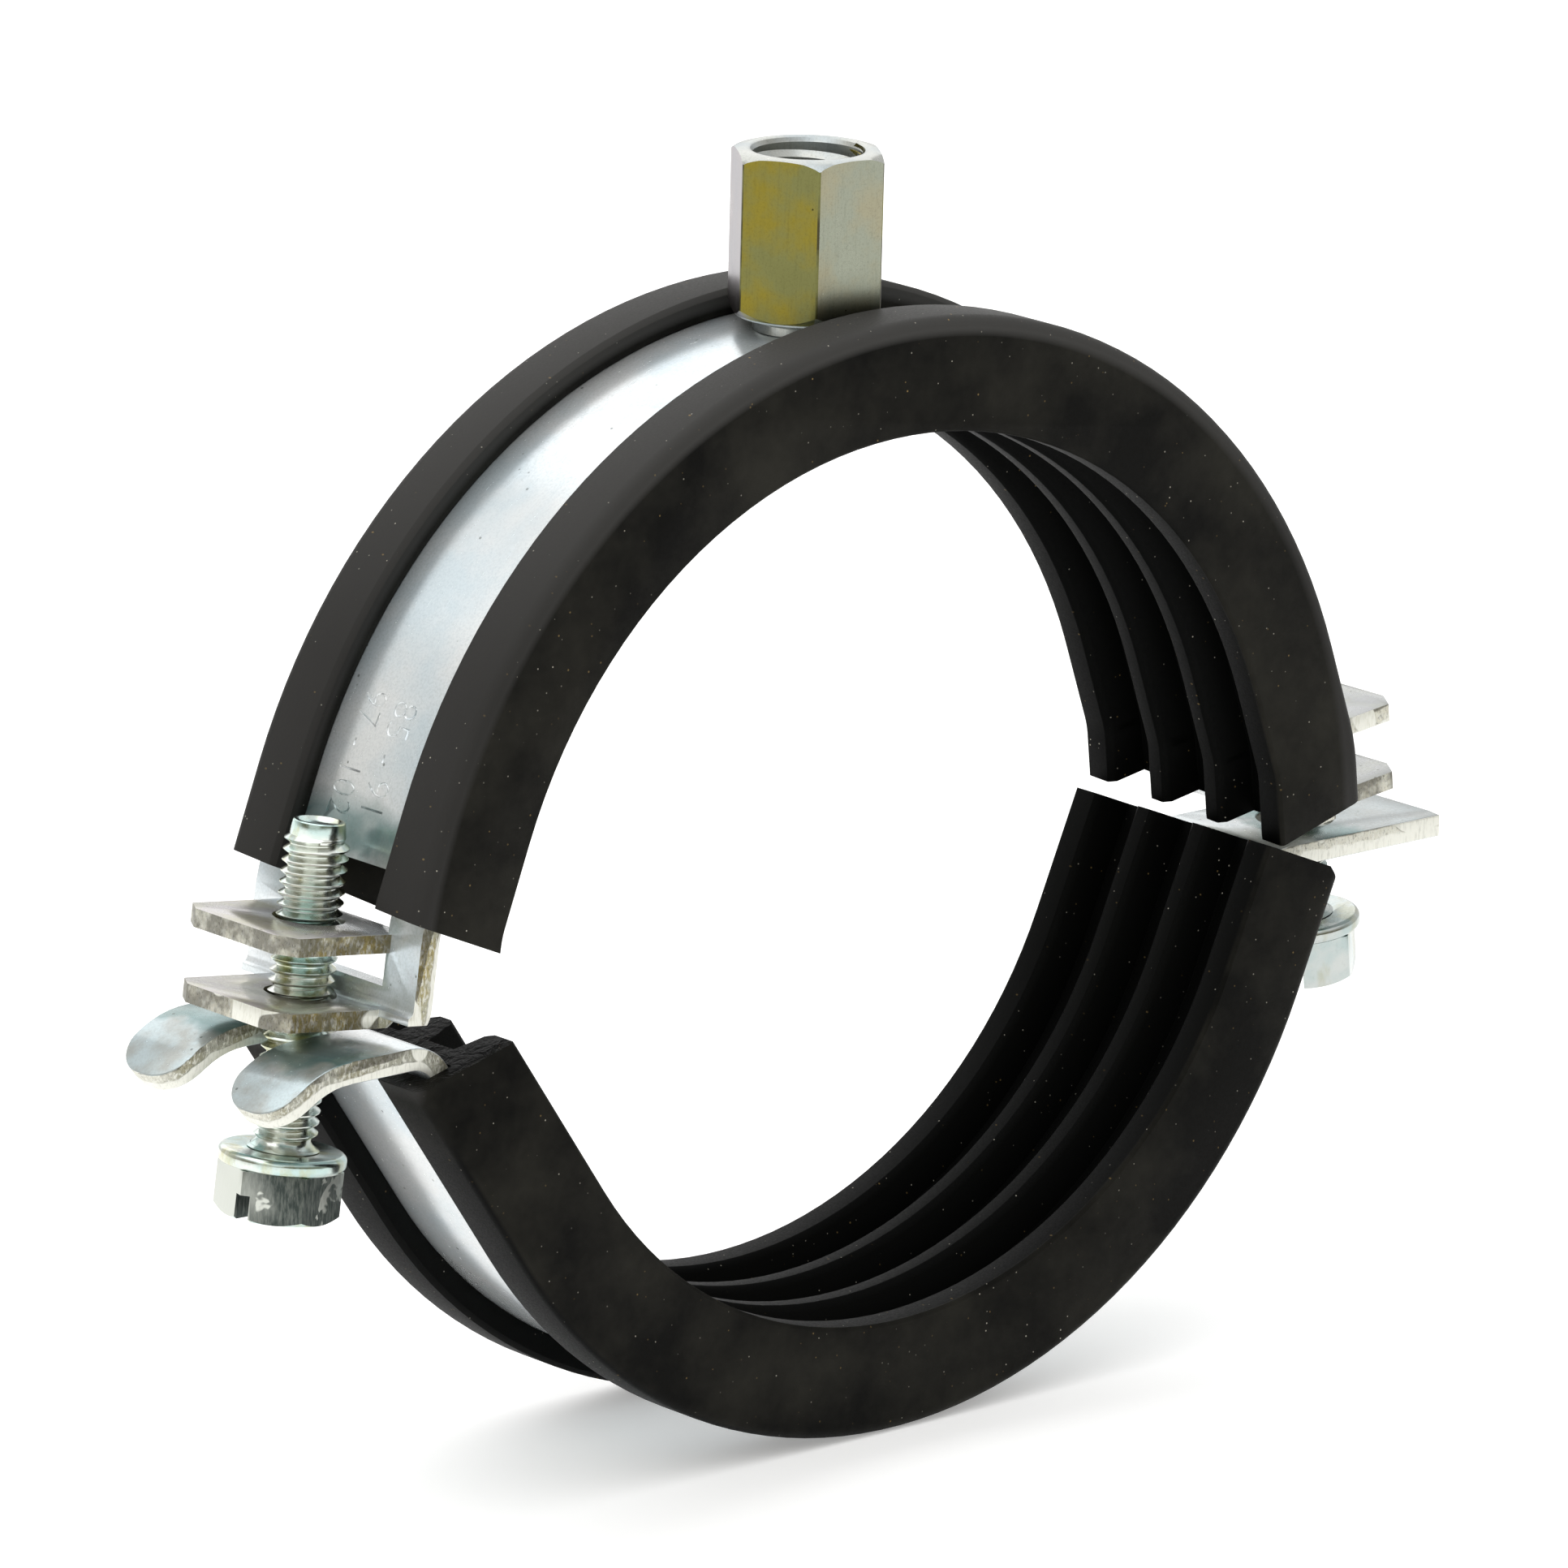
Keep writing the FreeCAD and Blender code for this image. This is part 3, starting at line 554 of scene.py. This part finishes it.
for face in bm.faces:
    centre = face.calc_center_median()
    out = math.hypot(centre.x, centre.y)
    flank = (math.degrees(math.atan2(centre.y, centre.x)) - nut_turn) // 60
    top_face = abs(face.normal.z) > 0.2 and centre.z > nut_top - 2 * mm
    # the weld neck below the rim takes the dark corner finish: painted shadow under the nut
    if centre.z < nut_foot + 0.01 * mm:
        face.material_index = corner_and_neck_shade_finish
    elif out < 6.15 * mm or top_face or centre.z < nut_foot + 0.16 * mm:
        face.material_index = turned_finish
    # each flat gets one of three colours by the way it faces: partly the film, partly painted reflection
    elif face.material_index != corner_and_neck_shade_finish:
        face.material_index = int(flank) % 3
helix(bm, nut_thread_root, nut_thread_crest, nut_pitch, nut_top - nut_thread_deep, nut_turns, 64)
for vert in bm.verts:
    if vert.co.z > nut_top or math.hypot(*vert.co.xy) < 5.1 * mm:
        vert.co.z = min(vert.co.z, nut_top - nut_mouth)
for face in bm.faces:
    if math.hypot(*face.calc_center_median().xy) < 5.0 * mm:
        face.material_index = turned_finish
bmesh.ops.translate(bm, verts=bm.verts, vec=(nut_x, 0, 0))
bm.to_mesh(nut.data)
bm.free()
nut.data.shade_smooth()
nut.data.set_sharp_from_angle(angle=math.radians(28))
set_in_place(nut, "upper_half", "nut_zinc", "connection_nut")


# Upper lining: an extruded rubber channel pushed over the strap, its lips folded round
# the edges and four ribs inside that grip the pipe. The ends are cut by hand.
rubber_black = (0.0032, 0.0032, 0.0026, 1)
rubber_brown = (0.0210, 0.0200, 0.0160, 1)
# lighter greys of the lips and crown are painted light from above
rubber_lit_grey = (0.0330, 0.0320, 0.0310, 1)
rubber_lit_crown = (0.0580, 0.0570, 0.0550, 1)
# near black of the inside is painted shade
rubber_inside_shade = (0.0010, 0.0012, 0.0010, 1)
dust_pale = (0.42, 0.40, 0.34, 1)
dust_gold = (0.45, 0.31, 0.12, 1)
lip_from = 56.3 * mm             # out here the lips are painted lighter grey: painted light from above
lining_half = 12.9 * mm          # half of the lining's width, less its outer skin
rubber_round = 0.22 * mm


def rubber_finish(name, torn):
    """Extruded rubber: dull black, fine grain and specks of dust; lips and crown painted lighter grey as
    light from above, the inside painted near black as shade.
    """
    material, tree, shader = new_finish(name, 0.0, 0.5)
    shader.inputs["Specular IOR Level"].default_value = 0.06
    place = here(tree)
    follow = along_the_strap(tree, lip_from)
    out = axis_of(tree, follow, "Z")
    cloud = noise(tree, place, 42, 5, 0.65)
    fine = noise(tree, place, 4800, 3, 0.6)
    colour = tint(tree, window(tree, cloud, 0.42, 0.66), rubber_black, rubber_brown)
    # the lips out past the strap and the crown above are painted lighter grey: painted light from above
    colour = tint(tree, window(tree, out, lip_from, lip_from + 0.8 * mm, 0, 0.9), colour, rubber_lit_grey)
    crown = calc(tree, "MULTIPLY", window(tree, out, lip_from, lip_from + 0.8 * mm),
                 window(tree, axis_of(tree, place, "Z"), 30 * mm, 60 * mm))
    colour = tint(tree, crown, colour, rubber_lit_crown)
    # the inside of the channel, toward the pipe, is painted near black: painted shade
    width = calc(tree, "ABSOLUTE", axis_of(tree, place, "Y"))
    inside = calc(tree, "MULTIPLY", window(tree, width, lining_half, lining_half + 0.3 * mm, 1, 0),
                  window(tree, out, 53 * mm, 54 * mm, 1, 0))
    colour = tint(tree, inside, colour, rubber_inside_shade)
    thick = window(tree, noise(tree, place, 130, 3, 0.6), 0.42, 0.62, 0.15, 1.0)
    high = window(tree, axis_of(tree, place, "Z"), 48 * mm, 58 * mm, 0.30, 0.85)
    small = calc(tree, "MULTIPLY", specks(tree, place, 1150, 0.10, 0.30), thick)
    colour = tint(tree, small, colour, dust_pale)
    turned_place = mapped(tree, place, (1, 0.6, 1), turn=(1, 2, 0.5))
    large = calc(tree, "MULTIPLY", specks(tree, turned_place, 900, 0.10, 0.4), thick)
    colour = tint(tree, calc(tree, "MULTIPLY", large, high), colour, dust_gold)
    feed(tree, shader.inputs["Base Color"], colour)
    feed(tree, shader.inputs["Roughness"], window(tree, fine, 0.3, 0.7, 0.46, 0.62))
    swell = bump(tree, cloud, 0.25, 0.2 * mm)
    if torn:
        swell = bump(tree, noise(tree, place, 620, 3, 0.65, 0.8), 0.9, 0.5 * mm)
    feed(tree, shader.inputs["Normal"], bump(tree, fine, 0.30, 0.015 * mm, swell))
    return material


rubber = rubber_finish("lining_rubber_black", False)
cut_rubber = rubber_finish("lining_rubber_cut", True)


def mark_cut_ends(bm):
    """Gives the hand-cut end faces their torn finish."""
    for face in bm.faces:
        middle = face.calc_center_median()
        along = Vector((-middle.z, 0, middle.x)).normalized()
        face.material_index = 1 if abs(face.normal.dot(along)) > 0.75 else 0


bm = merged_copy("upper_lining")
mark_cut_ends(bm)
rounded_edges(bm, rubber_round, 2, 40)
upper_rubber = as_piece(bm, "upper_rubber", [rubber, cut_rubber], 50)
set_in_place(upper_rubber, "upper_half", "lining_rubber", "upper_lining")


# Lower strap: the same strip bent round under the pipe, slotted into a fork with two
# curved prongs on the left and pierced with one hole in its flat right end.
fork_blue = (0.50, 0.585, 0.605, 1)
ear_grey = (0.40, 0.42, 0.40, 1)
fork_edge_warm = (0.35, 0.335, 0.24, 1)
fork_edge_grey = (0.40, 0.40, 0.34, 1)
fork_round = 0.22 * mm
lower_face = plated_face("satin_zinc_lower", strap_mid_r, ear_begins, (fork_blue, ear_grey),
                         59.0 * mm, 66.0 * mm, "X")
lower_edge = sheared_edge("sheared_edge_lower", 0.54, 0.46, fork_edge_warm, fork_edge_grey)
bm = merged_copy("lower_band")
mark_sides(bm)
rounded_edges(bm, fork_round, 3)
lower_strap = as_piece(bm, "lower_strap", [lower_face, lower_edge])
set_in_place(lower_strap, "lower_half", "strap_zinc", "lower_band")


# Lower lining: the same rubber channel under the pipe. Its cut ends stand free of the
# strap on both sides.
bm = merged_copy("lower_lining")
mark_cut_ends(bm)
rounded_edges(bm, rubber_round, 2, 40)
lower_rubber = as_piece(bm, "lower_rubber", [rubber, cut_rubber], 50)
set_in_place(lower_rubber, "lower_half", "lining_rubber", "lower_lining")


# Two machine screws: cold headed steel with a round collar, a hexagon and a driver slot,
# rolled 6 mm thread with a plain neck, zinc plated. Both lean with their tips inward.
screw_lean = math.radians(7.0)
screw_long = 30.0 * mm
tip_above = 8.9 * mm             # how far a tip stands above its upper ear plate
thread_pitch = 1.0 * mm
thread_root = 2.42 * mm
thread_crest = 2.98 * mm
tip_small = 2.32 * mm
tip_long = 1.3 * mm
neck_long = 0.6 * mm
collar_tall = 1.9 * mm           # the collar and its rounding, above the hexagon
tip_raised = 0.6 * mm            # how far the thread runs up into the tip's cone

screw_pale = (0.74, 0.77, 0.72, 1)
screw_teal = (0.50, 0.64, 0.61, 1)
screw_olive = (0.47, 0.44, 0.18, 1)
screw_far = (0.36, 0.385, 0.39, 1)
hex_dark = (0.05, 0.062, 0.058, 1)
hex_grey = (0.15, 0.165, 0.15, 1)
# rubbed spots, and painted highlight on the hexagon faces that look along X
hex_rubbed_and_lit = (0.55, 0.57, 0.52, 1)


def screw_finish(name):
    """Rolled thread under zinc: teal and olive film, and a little grime."""
    material, tree, shader = new_finish(name, 1.0, 0.28)
    place = here(tree)
    cloud = noise(tree, mapped(tree, place, (1, 1, 0.5)), 330, 4, 0.6)
    film = noise(tree, mapped(tree, place, shift=(4, 2, 9)), 210, 3, 0.6)
    grain = noise(tree, place, 3600, 3, 0.6)
    colour = tint(tree, window(tree, film, 0.42, 0.60), screw_pale, screw_teal)
    colour = tint(tree, window(tree, cloud, 0.50, 0.62, 0, 0.65), colour, screw_olive)
    on_right = window(tree, axis_of(tree, place, "X"), 0, 1 * mm, 0, 0.6)
    colour = tint(tree, on_right, colour, screw_far)
    colour = tint(tree, window(tree, grain, 0.60, 0.76, 0, 0.12), colour, edge_dark)
    feed(tree, shader.inputs["Base Color"], colour)
    feed(tree, shader.inputs["Roughness"], window(tree, grain, 0.3, 0.7, 0.17, 0.26))
    feed(tree, shader.inputs["Normal"], bump(tree, grain, 0.15, 0.02 * mm))
    return material


def headed_finish(name):
    """Flats of the cold headed hexagon: dark and rough, worn bright in places, with a painted highlight on
    the faces that look along X.
    """
    material, tree, shader = new_finish(name, 1.0, 0.4)
    place = here(tree)
    # faces that look along X get a painted highlight, mixed with the worn spots
    lit_side_on = calc(tree, "ABSOLUTE", axis_of(tree, turned_to(tree), "X"))
    rubbed_and_lit = calc(tree, "MAXIMUM", window(tree, noise(tree, place, 330, 3, 0.55, 0.6), 0.58, 0.62),
                  window(tree, lit_side_on, 0.72, 0.88))
    lines = noise(tree, mapped(tree, place, (1, 1, 0.2)), 3600, 3, 0.6)
    rough = tint(tree, window(tree, lines, 0.40, 0.66), hex_dark, hex_grey)
    feed(tree, shader.inputs["Base Color"], tint(tree, rubbed_and_lit, rough, hex_rubbed_and_lit))
    feed(tree, shader.inputs["Roughness"], window(tree, rubbed_and_lit, 0, 1, 0.48, 0.28))
    feed(tree, shader.inputs["Normal"], bump(tree, lines, 0.5, 0.03 * mm))
    return material


def threaded_screw(name, node, side, plate_x, plate_z, finishes):
    """The head comes from the CAD piece, the shank is turned and threaded anew."""
    axis = Matrix.Rotation(-side * screw_lean, 4, "Y")
    under = plate_z + (tip_above - screw_long) * math.cos(screw_lean)
    foot = side * (plate_x - (tip_above - screw_long) * math.sin(screw_lean))
    seat = Matrix.Translation((foot, 0, under)) @ axis
    up = axis @ Vector((0, 0, 1))
    head = merged_copy(node)
    cut = seat @ Vector((0, 0, 0.3 * mm))
    bmesh.ops.bisect_plane(head, geom=head.verts[:] + head.edges[:] + head.faces[:], dist=0,
                           plane_co=cut, plane_no=up, clear_outer=True)
    rounded_edges(head, 0.15 * mm, 2, 28)
    for face in head.faces:
        below = (face.calc_center_median() - seat.translation).dot(up)
        face.material_index = 1 if abs(face.normal.dot(up)) < 0.3 and below < -collar_tall else 0
    shank = bmesh.new()
    top = screw_long
    neck = [(0, 0.1 * mm), (3.3 * mm, 0.1 * mm), (2.95 * mm, 0.3 * mm), (2.6 * mm, neck_long),
            (thread_root, neck_long + 0.3 * mm)]
    tip = [(thread_root, top - tip_long - 0.2 * mm), (thread_root + 0.14 * mm, top - tip_long),
           (tip_small + 0.05 * mm, top - 0.10 * mm), (tip_small - 0.06 * mm, top),
           (tip_small - 0.4 * mm, top), (tip_small - 0.5 * mm, top - 0.3 * mm), (0, top - 0.4 * mm)]
    turned(shank, neck + tip, 48)
    turns = int((top - tip_long - neck_long) / thread_pitch)
    thread_low = top - tip_long - (turns + 1) * thread_pitch + tip_raised
    helix(shank, thread_root, thread_crest, thread_pitch, thread_low, turns, 48)
    bmesh.ops.recalc_face_normals(shank, faces=shank.faces)
    bmesh.ops.transform(shank, matrix=seat, verts=shank.verts)
    extra = bpy.data.meshes.new("shank")
    shank.to_mesh(extra)
    shank.free()
    head.from_mesh(extra)
    bpy.data.meshes.remove(extra)
    screw = as_piece(head, name, finishes, 40)
    set_in_place(screw, node, "screw_zinc", node)


rolled_zinc = screw_finish("rolled_screw_zinc")
dark_flats = headed_finish("headed_screw_flats")
left_plate_x, left_plate_z = 59.1 * mm, 8.9 * mm       # where the axes pass the upper plates
right_plate_x, right_plate_z = 61.6 * mm, 10.3 * mm
threaded_screw("left_screw", "closing_screw", -1, left_plate_x, left_plate_z, [rolled_zinc, dark_flats])
threaded_screw("right_screw", "side_screw", 1, right_plate_x, right_plate_z, [rolled_zinc, rolled_zinc])


# Floor, soft light and the camera at the angle of the photograph: a sheet of white paper
# that glows a little, three soft boxes, and a studio with a pale backdrop behind.
floor_gap = 0.05 * mm
floor_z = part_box("lower_lining")[0].z - floor_gap
bm = bmesh.new()
bmesh.ops.create_grid(bm, x_segments=1, y_segments=1, size=3.0)
bmesh.ops.translate(bm, verts=bm.verts, vec=(0, 0, floor_z))
paper, tree, shader = new_finish("white_paper", 0.0, 0.8)
shader.inputs["Base Color"].default_value = (0.93, 0.93, 0.93, 1)
shader.inputs["Emission Color"].default_value = (1, 1, 1, 1)
shader.inputs["Emission Strength"].default_value = 0.30
floor = as_piece(bm, "floor", [paper])


def soft_box(name, at, size, power):
    """A square area light that looks at the clamp."""
    lamp = bpy.data.lights.new(name, "AREA")
    lamp.shape = "SQUARE"
    lamp.size = size
    lamp.energy = power
    light = bpy.data.objects.new(name, lamp)
    light.location = at
    light.rotation_euler = (-Vector(at)).to_track_quat("-Z", "Y").to_euler()
    bpy.context.scene.collection.objects.link(light)


soft_box("fill", (-0.80, -0.45, 0.45), 0.9, 1.6)
soft_box("key", (-0.35, 0.15, 1.1), 1.5, 6.5)
soft_box("rim", (0.5, 0.9, 0.7), 1.1, 3)


def facing(tree, toward, direction):
    """How far a direction of the surroundings lies toward a given one."""
    node = tree.nodes.new("ShaderNodeVectorMath")
    node.operation = "DOT_PRODUCT"
    feed(tree, node.inputs[0], toward)
    node.inputs[1].default_value = Vector(direction).normalized()
    return node.outputs["Value"]


world = bpy.data.worlds.new("studio")
world.use_nodes = True
tree = world.node_tree
sky = tree.nodes["Background"]
toward = tree.nodes.new("ShaderNodeTexCoord").outputs["Generated"]
backdrop = window(tree, facing(tree, toward, (0.62, 0.76, 0.1)), -0.35, 0.45, 0.0, 0.85)
ceiling = window(tree, facing(tree, toward, (0, 0, 1)), 0.25, 0.80, 0.0, 1.0)
dark_room = (0.16, 0.145, 0.075, 1)
white_room = (1, 1, 1, 1)
pale_part = calc(tree, "MAXIMUM", backdrop, ceiling)
feed(tree, sky.inputs["Color"], tint(tree, pale_part, dark_room, white_room))
sky.inputs["Strength"].default_value = 0.95
bpy.context.scene.world = world

camera_at = Vector((-0.7095, -0.7889, 0.2906))
camera_aim = Vector((-0.0027, 0.0, 0.01245))
camera_roll = math.radians(1.483)
lens = bpy.data.cameras.new("camera")
lens.lens = 273.2
lens.sensor_width = 36.0
camera = bpy.data.objects.new("camera", lens)
camera.location = camera_at
look = (camera_aim - camera_at).to_track_quat("-Z", "Y")
camera.rotation_euler = (look @ Quaternion((0, 0, 1), camera_roll)).to_euler()
bpy.context.scene.collection.objects.link(camera)
bpy.context.scene.camera = camera
bpy.context.scene.view_settings.view_transform = "Standard"
